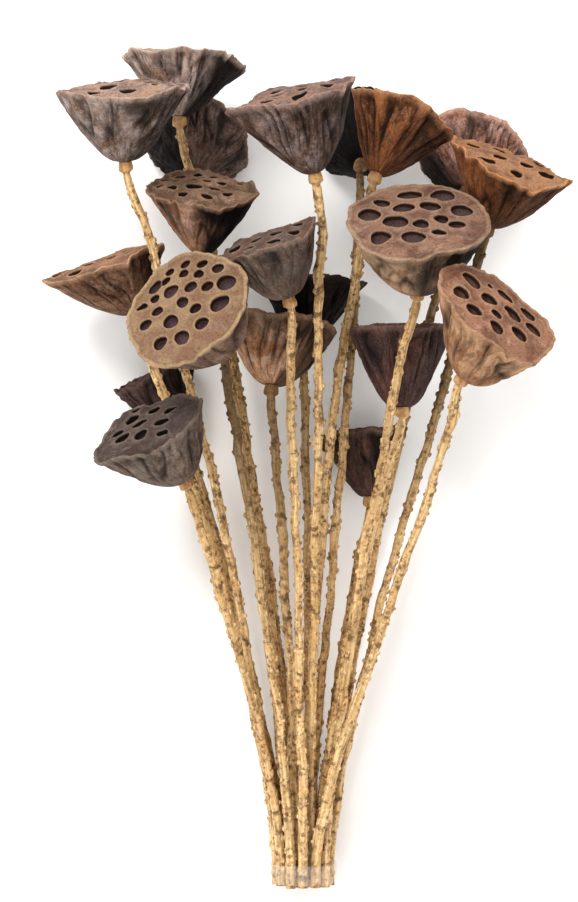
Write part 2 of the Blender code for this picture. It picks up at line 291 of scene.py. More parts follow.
def spread(along):
    """How far the stems have spread at a distance from the foot."""
    free = max(along - STRAIGHT_LENGTH, 0.0)
    return free * free / (free + SPREAD_EASE) * (0.6 + 0.4 * free / SPREAD_SCALE)


def stem_path(pod):
    """Points from the cut end to just under the seed head, and how far along each one is."""
    ring, position = pod.place
    turn = 2 * math.pi * (position + (0.5 if ring == 1 else 0.0)) / RING_COUNTS[ring]
    reach = RING_RADII[ring]
    foot = Vector((reach * math.sin(turn), 0.0, FOOT_HEIGHT + reach * math.cos(turn)))
    out = head_axes(pod)[2]
    neck = neck_point(pod)
    sway_x, sway_z = pod.sway

    def at(along):
        share = spread(along) / spread(neck.y)
        part = along / neck.y
        swell = SWAY_GAIN * part * part * (1.0 - part) * MM
        x = foot.x + (neck.x - foot.x) * share + sway_x * swell
        z = foot.z + (neck.z - foot.z) * share + sway_z * swell
        return Vector((x, along, z))

    bend_start = neck.y - pod.bend * MM * max(LEAST_BEND, abs(out.y))
    points = [at(bend_start * i / STEM_STEPS) for i in range(STEM_STEPS + 1)]
    start, end = points[-1], neck - out * GAP
    heading = (at(bend_start + MM) - at(bend_start - MM)).normalized()
    reach = (end - start).length
    for i in range(1, BEND_STEPS + 1):
        t = i / BEND_STEPS
        keep = 2 * t**3 - 3 * t**2 + 1
        point = start * keep + end * (1.0 - keep)
        point += heading * reach * (t**3 - 2 * t**2 + t) + out * reach * (t**3 - t**2)
        points.append(point)
    route = np.array(points)
    pieces = np.linalg.norm(np.diff(route, axis=0), axis=1)
    return route, np.concatenate([[0.0], np.cumsum(pieces)])


# ---- seed heads

# Points round a bell, up a bell and round a socket.
AROUND = 176
UP = 74
LOOP = 26
FACE_EDGE = 0.915
# The rim's section over the edge and down to the face, as share of the top radius and rise in mm.
RIM_SECTION = ((1.004, 0.35), (0.996, 0.7), (0.978, 0.8), (0.955, 0.6))
# A face's loose points: their spacing, how far they stray, and how clear they stay of edge and sockets.
FACE_GRAIN = 1.55 * MM
GRAIN_STRAY = 0.28
EDGE_CLEARANCE = 0.975
LIP_CLEARANCE = 1.12
LIP_WIDTH = 1.5 * MM
FACE_GRAIN_SCALE = 0.12
# A socket's lip takes a share of the narrowest gap to its neighbours, between these limits.
MARGIN_SHARE = 0.42
LEAST_MARGIN = 0.25 * MM
WIDEST_MARGIN = 1.5 * MM
SOCKET_SPREAD = 1.06
SOCKET_FLOOR = 6.05
LEAST_DEPTH = 0.78
DEPTH_RANGE = 0.3
SOCKET_RINGS = (
    # share of the margin outside the edge, shrink in mm, share of the radius, depth in mm
    (0.55, 0.0, 1.00, -0.30), (0.25, 0.0, 1.00, -0.15), (0.10, 0.0, 1.00, 0.35), (0.0, 0.10, 1.00, 1.2),
    (0.0, 0.2, 0.98, 2.8), (0.0, 0.3, 0.94, 4.3), (0.0, 0.4, 0.80, 5.4), (0.0, 0.4, 0.50, 5.9),
    (0.0, 0.2, 0.22, 6.0),
)


def rim_line(pod, look, angle, phase, seed):
    """Radius and height of the rim, which waves, and is nicked where it has torn."""
    radius = pod.radius * MM * rim_lobes(angle, phase)
    radius = radius * (1 + 0.018 * ring_noise(4.2, angle, 0.5, seed + 5))
    wave = 1.5 * np.cos(3 * angle + phase) + 1.1 * look.ragged * ring_noise(3, angle, 0.2, seed + 6)
    nick = np.clip(ring_noise(5.5, angle, 7.3, seed + 7) - 0.35, 0, 1)
    fray = 0.35 * look.ragged * ring_noise(14, angle, 3.1, seed + 8)
    return radius, (wave - 3.2 * look.ragged * nick + fray) * MM


def side_rows(pod, look, angle, seed, rim_radius, rim_rise):
    """The outer skin from the neck to the rim, with creases that run together towards the neck."""
    level = np.linspace(0.0, 1.0, UP)
    t, a = np.meshgrid(level, angle, indexing="ij")
    bend = 0.30 * ring_noise(2, a, 1.4 * t, seed) * step(0.0, 1.0, t)
    b = a + bend
    x, y = np.cos(b), np.sin(b)
    k = look.folds / 2.6
    fold = noise(k * x, k * y, 0.9 * t, seed + 1)
    crease = np.clip(1 - np.abs(fold) * 3.4, 0, 1) ** 1.5
    second = noise(1.9 * k * x, 1.9 * k * y, 1.6 * t + 4, seed + 2)
    crease_2 = np.clip(1 - np.abs(second) * 3.2, 0, 1) ** 1.5 * step(0.25, 0.6, t)
    broad = noise(1.7 * x, 1.7 * y, 1.3 * t, seed + 3)
    fine = layered(15 * x, 15 * y, 4.5 * t, seed + 4, 2)
    pucker = layered(7 * x, 7 * y, 7 * t, seed + 9, 2)
    size = t**pod.flare
    lobed = 1 + t * (rim_radius[None, :] / (pod.radius * MM) - 1)
    radius = NECK_RADIUS + (pod.radius * MM - NECK_RADIUS) * size
    radius = radius * lobed
    full = step(0.02, 0.45, t)
    radius = radius * (1 + 0.055 * broad * full * (1 - 0.5 * t))
    depth = look.crease * MM * (0.85 * crease + 0.45 * crease_2)
    radius = radius - depth * full * (1 - 0.45 * step(0.85, 1, t))
    radius = radius + (0.55 * fine + 0.85 * pucker) * full * MM
    swell = 0.6 * MM * step(0.90, 0.99, t)
    height = t * pod.height * MM + rim_rise[None, :] * step(0.55, 1.0, t)
    # The side that takes the dark staining and painted shade, with a ragged edge.
    facing = np.cos(a - math.radians(look.stain_side))
    facing = facing + 0.45 * noise(2.4 * x, 2.4 * y, 2.0 * t, seed + 10)
    stain = step(-0.05, 0.75, facing) * look.stain
    marks = {
        "stain": stain * (1 - 0.5 * step(0.9, 1.0, t)),
        # This mark also sets the painted shade in the creases.
        "crease": np.clip(0.9 * crease + 0.6 * crease_2, 0, 1) * full,
        "rim": step(0.90, 1.0, t),
        "grain": np.stack([5 * x, 5 * y, 3.6 * t], axis=2),
    }
    return radius + swell, height, marks


def inside(points, polygon):
    """Which points lie inside a closed polygon."""
    found = np.zeros(len(points), bool)
    x, y = points[:, 0], points[:, 1]
    for (x1, y1), (x2, y2) in zip(polygon, np.roll(polygon, -1, axis=0)):
        if y1 == y2:
            continue
        crosses = (y1 > y) != (y2 > y)
        found ^= crosses & (x < (x2 - x1) * (y - y1) / (y2 - y1) + x1)
    return found


def between(points, outer, holes):
    """Which points lie inside the outer polygon and outside every hole."""
    found = inside(points, outer)
    for hole in holes:
        found &= ~inside(points, hole)
    return found


def fill(outlines, loose=()):
    """Triangles over closed outlines and loose points, all in millimetres.

    Gives the points, the triangles, and where each given point ended up.
    """
    edges, start = [], 0
    for line in outlines:
        edges += [(start + i, start + (i + 1) % len(line)) for i in range(len(line))]
        start += len(line)
    given = np.concatenate([*outlines, *loose])
    found = delaunay_2d_cdt([Vector(p) for p in given], edges, [], 0, 1e-5, True)
    where = {old: new for new, olds in enumerate(found[3]) for old in olds}
    return np.array([tuple(v) for v in found[0]]), np.array(found[2]), where


def socket_outline(socket, turn, grow, seed):
    """A rounded, slightly oval outline of a socket, grown outwards by grow."""
    x, y, radius = socket
    oval = 0.09 * math.sin(1.9 * seed + x)
    corner = 0.045 * math.sin(0.7 * seed + y)
    skew = 0.6 * x + 0.3 * y
    reach = radius * (1 + oval * np.cos(2 * turn + skew) + corner * np.cos(3 * turn - skew)) + grow
    return np.stack([x + reach * np.cos(turn), y + reach * np.sin(turn)], axis=1)


class Face:
    """The flat top of a seed head: its height, its sockets and the skin between them."""

    def __init__(self, pod, seed, rim_radius, rim_rise, angle):
        self.pod, self.seed = pod, seed
        self.angle, self.rim_radius, self.rim_rise = angle, rim_radius, rim_rise
        self.sockets = [(x * MM, y * MM, r * SOCKET_SPREAD * MM) for x, y, r in socket_places(pod)]
        self.margins = []
        for i, (x, y, r) in enumerate(self.sockets):
            others = self.sockets[:i] + self.sockets[i + 1 :]
            gap = min(math.hypot(x - u, y - v) - r - s for u, v, s in others)
            self.margins.append(min(max(MARGIN_SHARE * gap, LEAST_MARGIN), WIDEST_MARGIN))

    def height(self, x, y):
        """Height of the skin, measured from the rim's level, and how near it is to a socket's lip."""
        around = np.arctan2(y, x) % (2 * math.pi)
        closed = np.append(self.angle, 2 * math.pi)
        edge = np.interp(around, closed, np.append(self.rim_radius, self.rim_radius[0])) * FACE_EDGE
        rise = np.interp(around, closed, np.append(self.rim_rise, self.rim_rise[0]))
        out = np.hypot(x, y) / edge
        lip = np.zeros_like(x)
        for sx, sy, sr in self.sockets:
            away = np.abs(np.hypot(x - sx, y - sy) - sr)
            lip = np.maximum(lip, np.exp(-((away / LIP_WIDTH) ** 2)))
        u, v = x / MM, y / MM
        broad = 1.3 * noise(u * 0.07, v * 0.07, 1.0, self.seed + 11)
        rough = 0.55 * layered(u * 0.26, v * 0.30, 2.0, self.seed + 12, 3)
        sag = -0.4 * step(0.75, 0.98, out) * (1 - step(0.97, 1.06, out))
        body = (broad + rough + 1.0 * lip + sag) * MM * (1 - 0.6 * step(0.97, 1.0, out))
        edge_lift = rise * np.clip(out, 0, 1) ** 3
        return edge_lift + DOME_RISE * (1 - out**2) + 0.4 * FACE_RISE + body, lip

    def grains(self, ring_xy, loops):
        """Loose points scattered over the skin between the sockets, for even triangles."""
        size = self.pod.radius * MM
        rows = np.arange(-size, size, FACE_GRAIN)
        gx, gy = np.meshgrid(rows, rows)
        gx = gx + (np.arange(len(rows)) % 2)[:, None] * FACE_GRAIN / 2
        rng = np.random.default_rng(SEED + self.seed)
        found = np.stack([gx.ravel(), gy.ravel()], axis=1)
        found = found + rng.uniform(-GRAIN_STRAY, GRAIN_STRAY, found.shape) * FACE_GRAIN
        centres = [np.array([x, y]) for x, y, _ in self.sockets]
        wide = [centre + (loop - centre) * LIP_CLEARANCE for centre, loop in zip(centres, loops)]
        return found[between(found, ring_xy * EDGE_CLEARANCE, wide)]

    def socket_rings(self, i, turn):
        """The rings down into a socket and its floor's middle, each with its painted shade and how near the
        lip.
        """
        (x, y, radius), margin = self.sockets[i], self.margins[i]
        middle_level = float(self.height(np.array([x]), np.array([y]))[0][0])
        deep = LEAST_DEPTH + DEPTH_RANGE * (math.sin(3.7 * i + self.seed) * 0.5 + 0.5)
        rings = []
        for share, shrink, part, drop in SOCKET_RINGS:
            grow = share * margin - shrink * MM
            outline = socket_outline((x, y, radius * part), turn, grow, self.seed + i)
            ground, _ = self.height(outline[:, 0], outline[:, 1])
            mix = min(max(drop / 3.0, 0.0), 1.0)
            ruffle = 0.22 * ring_noise(3, turn, drop, self.seed + i) * mix
            z = ground * (1 - mix) + middle_level * mix - (drop * deep + ruffle) * MM
            # Painted shade deepens down the socket's sides.
            socket_shade = min(max(drop, 0.0) / 2.2, 1.0)
            rings.append((np.column_stack([outline, z]), socket_shade, 1.0 if drop < 0.5 else 0.0))
        bottom = np.array([[x, y, middle_level - SOCKET_FLOOR * deep * MM]])
        return rings + [(bottom, 1.0, 0.0)]

    def build(self, ring_xy):
        """Points, triangles, the vertices of the outer ring and the marks of the whole face."""
        turn = 2 * math.pi * np.arange(LOOP) / LOOP
        loops = [
            socket_outline(socket, turn, margin, self.seed + i)
            for i, (socket, margin) in enumerate(zip(self.sockets, self.margins))
        ]
        outlines = [line * MM_PER_METRE for line in (ring_xy, *loops)]
        flat, triangles, where = fill(outlines, [self.grains(ring_xy, loops) * MM_PER_METRE])
        points = flat / MM_PER_METRE
        faces = triangles[between(points[triangles].mean(axis=1), ring_xy, loops)].tolist()
        level, lip = self.height(points[:, 0], points[:, 1])
        # The second list holds how much painted shade each point gets in its socket.
        xyz, depth, lips = [np.column_stack([points, level])], [np.zeros(len(points))], [lip]
        start, total = len(ring_xy), len(points)
        for i in range(len(self.sockets)):
            before = [where[start + j] for j in range(LOOP)]
            start += LOOP
            for ring, socket_shade_share, near_lip in self.socket_rings(i, turn):
                xyz.append(ring)
                depth.append(np.full(len(ring), socket_shade_share))
                lips.append(np.full(len(ring), near_lip))
                if len(ring) == 1:
                    faces += [(before[j], before[(j + 1) % LOOP], total) for j in range(LOOP)]
                else:
                    now = range(total, total + LOOP)
                    faces += bridge(before, now)
                    before = now
                total += len(ring)
        outer = [where[i] for i in range(len(ring_xy))]
        return np.concatenate(xyz), faces, outer, np.concatenate(depth), np.concatenate(lips)


def build_head(number, pod, look, material):
    """A seed head: its bell, its rim and its face, set in place and kept off the floor."""
    seed = 100 * number
    phase = 1.7 * number
    angle = 2 * math.pi * np.arange(AROUND) / AROUND
    rim_radius, rim_rise = rim_line(pod, look, angle, phase, seed)
    radius, level, marks = side_rows(pod, look, angle, seed, rim_radius, rim_rise)
    height = pod.height * MM

    top_radius, top_level = radius[-1], level[-1]
    rows_radius, rows_level = [radius], [level]
    for share, rise in RIM_SECTION:
        rows_radius.append((top_radius * share)[None, :])
        rows_level.append((top_level + rise * MM)[None, :])
    skin_radius, skin_level = np.concatenate(rows_radius), np.concatenate(rows_level)
    rows = len(skin_radius)
    cos, sin = np.cos(angle), np.sin(angle)
    skin = np.stack([skin_radius * cos, skin_radius * sin, skin_level], axis=2).reshape(-1, 3)

    face = Face(pod, seed, top_radius, rim_rise, angle)
    ring_xy = np.stack([top_radius * FACE_EDGE * cos, top_radius * FACE_EDGE * sin], axis=1)
    face_points, face_faces, outer, depth, lip = face.build(ring_xy)
    face_points[:, 2] += height

    local = np.concatenate([skin, face_points, [[0.0, 0.0, 0.0]]])
    drawn = np.concatenate([np.clip(skin[:, 2] / height, 0, 1), np.ones(len(face_points)), [0.0]])
    local[:, 0] -= pod.skew * MM * drawn
    first_face = len(skin)
    faces = grid_faces(rows, AROUND)
    last = (rows - 1) * AROUND
    for j in range(AROUND):
        k = (j + 1) % AROUND
        faces.append((last + j, last + k, first_face + outer[k], first_face + outer[j]))
        faces.append((k, j, len(local) - 1))
    faces += [tuple(first_face + v for v in f) for f in face_faces]

    on_rim, on_top = len(RIM_SECTION) * AROUND, len(face_points)
    no_side = np.zeros(on_rim + on_top + 1)
    top_grain = np.tile(marks["grain"][-1], (len(RIM_SECTION), 1, 1)).reshape(-1, 3)
    grains = [marks["grain"].reshape(-1, 3), top_grain, face_points / MM * FACE_GRAIN_SCALE]
    values = {
        "crease": np.concatenate([marks["crease"].ravel(), no_side]),
        "rim": np.concatenate([marks["rim"].ravel(), np.ones(on_rim), np.zeros(on_top + 1)]),
        "face": np.concatenate([np.zeros(UP * AROUND), np.ones(on_rim + on_top), [0.0]]),
        # This mark carries the painted shade down the sockets' sides.
        "socket": np.concatenate([np.zeros(len(skin)), depth, [0.0]]),
        "lip": np.concatenate([np.zeros(len(skin)), lip, [0.0]]),
        "stain": np.concatenate([marks["stain"].ravel(), no_side]),
        "grain": np.concatenate([*grains, [[0.0, 0.0, 0.0]]]),
    }

    across, up, out = (np.array(v) for v in head_axes(pod))
    neck = np.array(neck_point(pod) + SHIFT)
    world = neck + local[:, :1] * across + local[:, 1:2] * up + local[:, 2:] * out
    world[:, 2] = np.maximum(world[:, 2], FLOOR_GAP)
    return make_object(f"head_{number:02d}", world, faces, values, material)


# ---- stems

STEM_AROUND = 18
STEM_SPACING = 1.5 * MM
# The last rings stand close together, because the knob under the head is there.
KNOB_LENGTH = 6.0 * MM
KNOB_RINGS = 20
KNOB_RINGS_START = 9.5 * MM
STEM_RINGS_END = 10 * MM
GRAIN_LENGTH = 7 * MM
# Stems are cut off unevenly, by up to this many millimetres.
UNEVEN_CUT = 1.6
# Thorns: where they start and stop. The low ones, in the bundle, are shorter.
NUB_SPACING = 2.3 * MM
NUB_SIDES = 6
FIRST_NUB = 7 * MM
LAST_NUB = 12 * MM
LOW_NUBS = 18 * MM
LOW_NUB_SHARE = 0.5
NUB_ROOT = 0.30 * MM
# The range of a thorn's width and height in mm, of how dark its tip is, and of the step to the next.
NUB_BASE = (0.75, 1.35)
NUB_HEIGHT = (0.70, 1.35)
NUB_TIP = (0.35, 1.0)
NUB_STEP = (0.4, 1.6)
# The rings of a thorn: width, rise, hook towards the head, and how dark it is.
NUB_RINGS = (
    (1.50, 0.0, 0.0, 0.15), (1.02, 0.35, 0.05, 0.30), (0.76, 0.75, 0.12, 0.75), (0.42, 1.0, 0.20, 1.0),
)
# The cut foot's air channels, in mm: a small one in the middle and a ring of wider ones.
CHANNELS = 7
CHANNEL_REACH = 1.9
CHANNEL_RADIUS = 0.62
MIDDLE_CHANNEL_RADIUS = 0.45
CHANNEL_SIDES = 10
CHANNEL_DEPTH = 3
CHANNEL_TAPER = 0.8
CUT_DARKNESS = 0.15


def stem_frame(pod, marks, route):
    """The direction of a stem at each mark, and two directions square to it."""
    heading = np.gradient(route, marks, axis=0)
    heading /= np.linalg.norm(heading, axis=1)[:, None]
    heading[-1] = np.array(head_axes(pod)[2])
    side = np.array([1.0, 0.0, 0.0])
    sides = []
    for direction in heading:
        side = side - direction * side.dot(direction)
        side = side / np.linalg.norm(side)
        sides.append(side)
    sides = np.array(sides)
    return heading, sides, np.cross(heading, sides)


def stem_radius(marks, turn, total, seed):
    """Radius of a stem at each mark and turn, with its grooves and its knob under the head."""
    s, a = np.meshgrid(marks, turn, indexing="ij")
    x, y = np.cos(a), np.sin(a)
    share = s / total
    radius = STEM_FOOT_RADIUS + (STEM_TOP_RADIUS - STEM_FOOT_RADIUS) * step(0.0, 0.35, share)
    radius = radius * (1 + 0.05 * noise(seed, 0.0, 0.0, seed) * step(40 * MM, 90 * MM, s))
    lumps = layered(1.1 * x, 1.1 * y, s / GRAIN_LENGTH, seed + 3, 3)
    knots = np.clip(noise(0.8 * x, 0.8 * y, s / (15 * MM), seed + 5) - 0.25, 0, 1)
    flutes = noise(2.4 * x, 2.4 * y, s / (70 * MM), seed + 4)
    groove = np.clip(1 - np.abs(flutes) * 4, 0, 1)
    loose = step(10 * MM, 40 * MM, s)
    radius = radius + (0.50 * lumps + 1.2 * knots) * loose * MM - 0.22 * MM * groove
    left = total - s
    knob = 1 - step(KNOB_LENGTH - 0.9 * MM, KNOB_LENGTH + 0.9 * MM, left)
    shape = COLLAR_RADIUS * (0.93 + 0.07 * lumps) - 0.5 * MM * step(3.5 * MM, 0.0, left)
    radius = radius * (1 - knob) + shape * knob
    radius = radius - 0.35 * MM * np.exp(-(((left - KNOB_LENGTH - 1.5 * MM) / (1.1 * MM)) ** 2))
    return radius, groove, knob, np.stack([2.2 * x, 2.2 * y, s / GRAIN_LENGTH], axis=2)


def stem_line(pod, seed, marks, total, line, lengths):
    """The middle of a stem at each mark. It wanders a little between the band and the head."""
    route = np.stack([np.interp(marks, lengths, line[:, i]) for i in range(3)], axis=1)
    free = step(25 * MM, 90 * MM, marks) * (1 - step(total - 40 * MM, total - 10 * MM, marks))
    for i, key in ((0, 0.0), (2, 5.0)):
        drift = 1.0 * noise(marks / (38 * MM), key, 0.0, seed + 1)
        kink = 0.45 * noise(marks / (13 * MM), key, 3.0, seed + 2)
        route[:, i] += (drift + kink) * free * MM
    return route + np.array(SHIFT)


class StemParts:
    """The points, faces and marks of a stem, put together part by part."""

    def __init__(self, skin, faces, groove, knob, dark, grain):
        self.points, self.faces, self.count = [skin], faces, len(skin)
        self.values = {
            "nub": [np.zeros(len(skin))], "groove": [groove], "knob": [knob], "dark": [dark], "grain": [grain],
        }

    def add(self, points, nub, dark, grain):
        """Adds points that have no groove and no knob."""
        size = len(points)
        self.points.append(points)
        self.values["nub"].append(nub)
        self.values["groove"].append(np.zeros(size))
        self.values["knob"].append(np.zeros(size))
        self.values["dark"].append(np.full(size, dark))
        self.values["grain"].append(np.tile(grain, (size, 1)))
        self.count += size

    def joined(self):
        marks = {key: np.concatenate(values) for key, values in self.values.items()}
        return np.concatenate(self.points), self.faces, marks


def add_thorns(parts, rng, marks, total, route, frame_of, turn, radius, dark):
    """Short blunt thorns with broad feet, scattered all round the stem."""
    heading, sides, overs = frame_of
    spin_turns = 2 * math.pi * np.arange(NUB_SIDES) / NUB_SIDES
    ring_x, ring_y = np.cos(spin_turns)[:, None], np.sin(spin_turns)[:, None]
    closed = np.append(turn, 2 * math.pi)
    place = FIRST_NUB
    while place < total - LAST_NUB:
        row = int(np.searchsorted(marks, place)) - 1
        spin = rng.uniform(0, 2 * math.pi)
        spoke = math.cos(spin) * sides[row] + math.sin(spin) * overs[row]
        across = np.cross(heading[row], spoke)
        level = float(np.interp(spin, closed, np.append(radius[row], radius[row][0])))
        base = rng.uniform(*NUB_BASE) * MM
        tall = rng.uniform(*NUB_HEIGHT) * MM * (LOW_NUB_SHARE if place < LOW_NUBS else 1.0)
        tip = rng.uniform(*NUB_TIP)
        root = route[row] + spoke * (level - NUB_ROOT)
        rings, nubs = [], []
        for width, rise, hook, shade in NUB_RINGS:
            centre = root + spoke * (NUB_ROOT * min(rise * 3, 1) + tall * rise) + heading[row] * tall * hook
            rings.append(centre + (ring_x * across + ring_y * heading[row] * 1.4) * base * width)
            nubs.append(np.full(NUB_SIDES, shade * tip))
        count = parts.count
        last = count + (len(NUB_RINGS) - 1) * NUB_SIDES
        parts.faces += grid_faces(len(NUB_RINGS), NUB_SIDES, count)
        parts.faces.append(tuple(last + j for j in range(NUB_SIDES)))
        parts.faces.append(tuple(count + NUB_SIDES - 1 - j for j in range(NUB_SIDES)))
        grain = np.array([spin, 3.0, place / GRAIN_LENGTH])
        parts.add(np.concatenate(rings), np.concatenate(nubs), dark[row * STEM_AROUND], grain)
        place += NUB_SPACING * rng.uniform(*NUB_STEP)


def build_stem(number, pod, look, material):
    """A stem from its cut foot to the flat top of its knob, with its thorns."""
    seed = 3000 + 100 * number
    rng = np.random.default_rng(SEED + seed)
    line, lengths = stem_path(pod)
    total = lengths[-1]
    foot = rng.uniform(0.0, UNEVEN_CUT) * MM
    marks = np.arange(foot, total - STEM_RINGS_END, STEM_SPACING)
    marks = np.concatenate([marks, np.linspace(total - KNOB_RINGS_START, total, KNOB_RINGS)])
    route = stem_line(pod, seed, marks, total, line, lengths)
    heading, sides, overs = stem_frame(pod, marks, route)
    turn = 2 * math.pi * np.arange(STEM_AROUND) / STEM_AROUND
    radius, groove, knob, grain = stem_radius(marks, turn, total, seed)
    spokes = np.cos(turn)[None, :, None] * sides[:, None] + np.sin(turn)[None, :, None] * overs[:, None]
    skin = (route[:, None, :] + radius[..., None] * spokes).reshape(-1, 3)
    upper = np.repeat(step(0.35, 0.95, marks / total) * look.stem_dark, STEM_AROUND)
    faces = grid_faces(len(marks), STEM_AROUND)
    parts = StemParts(skin, faces, groove.ravel(), knob.ravel(), upper, grain.reshape(-1, 3))
    add_thorns(parts, rng, marks, total, route, (heading, sides, overs), turn, radius, upper)

    # Ends: a cut foot with open air channels, and a flat top under the head.
    rim = skin[:STEM_AROUND]
    cut_points, cut_faces = cut_end(route[0], sides[0], overs[0], heading[0], rim, seed)
    count = parts.count
    parts.faces += [tuple(-v - 1 if v < 0 else count + v for v in face) for face in cut_faces]
    parts.add(cut_points, np.full(len(cut_points), CUT_DARKNESS), 0.0, np.zeros(3))
    top = (len(marks) - 1) * STEM_AROUND
    parts.faces.append(tuple(top + j for j in range(STEM_AROUND)))
    return make_object(f"stalk_{number:02d}", *parts.joined(), material)


def cut_end(centre, side, over, heading, rim, seed):
    """The sawn foot of a stem, with a ring of air channels round a small middle one.

    The rim's own vertices are named by negative numbers: -1 is its first.
    """
    holes = [(0.0, 0.0, MIDDLE_CHANNEL_RADIUS)]
    for i in range(CHANNELS):
        angle = 2 * math.pi * (i + 0.2 * math.sin(seed + i)) / CHANNELS
        holes.append((CHANNEL_REACH * math.cos(angle), CHANNEL_REACH * math.sin(angle), CHANNEL_RADIUS))
    turn = 2 * math.pi * np.arange(CHANNEL_SIDES) / CHANNEL_SIDES
    flat = [np.stack([(rim - centre) @ side, (rim - centre) @ over], axis=1) * MM_PER_METRE]
    for x, y, r in holes:
        flat.append(np.stack([x + r * np.cos(turn), y + r * np.sin(turn)], axis=1))
    plane, triangles, where = fill(flat)
    wanted = between(plane[triangles].mean(axis=1), flat[0], flat[1:])
    back = {where[i]: -(i + 1) for i in range(len(rim))}
    points = [centre + (p[0] * side + p[1] * over) * MM for p in plane]
    faces = [tuple(back.get(v, v) for v in reversed(tri)) for tri in triangles[wanted].tolist()]
    start = len(rim)
    for x, y, r in holes:
        upper = [where[start + i] for i in range(CHANNEL_SIDES)]
        start += CHANNEL_SIDES
        lower = []
        inner = CHANNEL_TAPER * r
        for angle in turn:
            lower.append(len(points))
            spoke = (x + inner * math.cos(angle)) * side + (y + inner * math.sin(angle)) * over
            points.append(centre + spoke * MM + heading * CHANNEL_DEPTH * MM)
        for i in range(CHANNEL_SIDES):
            k = (i + 1) % CHANNEL_SIDES
            faces.append((upper[k], upper[i], lower[i], lower[k]))
        faces.append(tuple(reversed(lower)))
    return np.array(points), faces


# ---- the clear band

BAND_AROUND = 220
BAND_ROWS = 13
# The film's second layer, where it laps over itself, and how uneven its edges are.
LAP = 0.35 * MM
EDGE_WAVE = 0.35 * MM


def build_band(material):
    """The clear film round the foot of the bunch, crinkled and lapped."""
    turn = 2 * math.pi * np.arange(BAND_AROUND) / BAND_AROUND
    along = np.linspace(0.0, 1.0, BAND_ROWS)
    parts = []
    for radius, sign in ((BAND_OUTER_RADIUS, 1), (BAND_INNER_RADIUS, -1)):
        for share in along if sign > 0 else along[::-1]:
            crinkle = ring_noise(7, turn, 3 * share, 71)
            ripple = ring_noise(16, turn, 1.2 * share, 72)
            lap = LAP * step(0.0, 0.02, turn) * (1 - step(0.5, 0.9, turn)) * (sign > 0)
            edge = EDGE_WAVE * ring_noise(5, turn, 0.0, 73 if share < 0.5 else 74)
            reach = radius + (0.20 * crinkle + 0.10 * ripple - 0.25) * MM * (sign > 0) + lap - 0.05 * MM
            y = BAND_START + BAND_LENGTH * share + edge * abs(2 * share - 1)
            parts.append(np.stack([reach * np.sin(turn), y, FOOT_HEIGHT + reach * np.cos(turn)], axis=1))
    points = np.concatenate(parts) + np.array(SHIFT)
    first, last = range(BAND_AROUND), range(len(points) - BAND_AROUND, len(points))
    faces = grid_faces(2 * BAND_ROWS, BAND_AROUND) + bridge(last, first)
    return make_object("clear_tie", points, faces, {}, material)


# ---- materials

HEAD_SHINE = 0.20
STEM_SHINE = 0.4
BAND_SHINE = 0.6
BAND_COLOUR = (0.86, 0.86, 0.84, 1.0)
BAND_ALPHA = 0.07
FLOOR_COLOURS = ((0.91, 0.91, 0.91), (0.94, 0.94, 0.94))
FLOOR_ROUGHNESS = 0.8
FLOOR_SHINE = 0.2


class Graph:
    """A short way to lay out the nodes of a material."""

    def __init__(self, name):
        self.material = bpy.data.materials.new(name)
        self.material.use_nodes = True
        self.tree = self.material.node_tree
        self.shader = self.tree.nodes["Principled BSDF"]
        self.place = self.add("ShaderNodeTexCoord").outputs["Object"]

    def add(self, kind, inputs=(), **settings):
        node = self.tree.nodes.new(kind)
        for key, value in settings.items():
            setattr(node, key, value)
        for key, value in dict(inputs).items():
            self.put(node, key, value)
        return node

    def put(self, node, key, value):
        """Links a node's input to a socket, or sets its number."""
        if isinstance(value, bpy.types.NodeSocket):
            self.tree.links.new(value, node.inputs[key])
        else:
            node.inputs[key].default_value = value

    def mark(self, name, field="Fac"):
        return self.add("ShaderNodeAttribute", attribute_name=name).outputs[field]

    def noise(self, vector, scale, detail=4.0, rough=0.55, stretch=None, warp=0.0):
        if stretch:
            vector = self.add("ShaderNodeMapping", {"Vector": vector, "Scale": stretch}).outputs["Vector"]
        inputs = {"Vector": vector, "Scale": scale, "Detail": detail, "Roughness": rough}
        inputs["Distortion"] = warp
        return self.add("ShaderNodeTexNoise", inputs).outputs["Fac"]

    def ramp(self, value, low, high, to_low=0.0, to_high=1.0):
        """A smooth step from one value to another."""
        inputs = {"Value": value, "From Min": low, "From Max": high, "To Min": to_low, "To Max": to_high}
        node = self.add("ShaderNodeMapRange", inputs, interpolation_type="SMOOTHSTEP")
        return node.outputs["Result"]

    def mix(self, share, first, second, blend="MIX"):
        """Two colours, mixed. The node's inputs 0, 6 and 7 are the share and the two colours."""
        node = self.add("ShaderNodeMix", data_type="RGBA", blend_type=blend)
        for key, value in ((0, share), (6, first), (7, second)):
            self.put(node, key, (*value, 1.0) if isinstance(value, tuple) else value)
        return node.outputs[2]

    def maths(self, operation, first, second):
        node = self.add("ShaderNodeMath", operation=operation)
        self.put(node, 0, first)
        self.put(node, 1, second)
        return node.outputs[0]

    def bump(self, height, strength, distance, normal=None):
        """A finer relief, laid over another where one is given."""
        inputs = {"Height": height, "Strength": strength, "Distance": distance}
        if normal:
            inputs["Normal"] = normal
        return self.add("ShaderNodeBump", inputs).outputs["Normal"]


def srgb(red, green, blue):
    """A colour as seen, from 0 to 255, turned into light."""
    return tuple(((c / 255 + 0.055) / 1.055) ** 2.4 if c > 10 else c / 3295 for c in (red, green, blue))
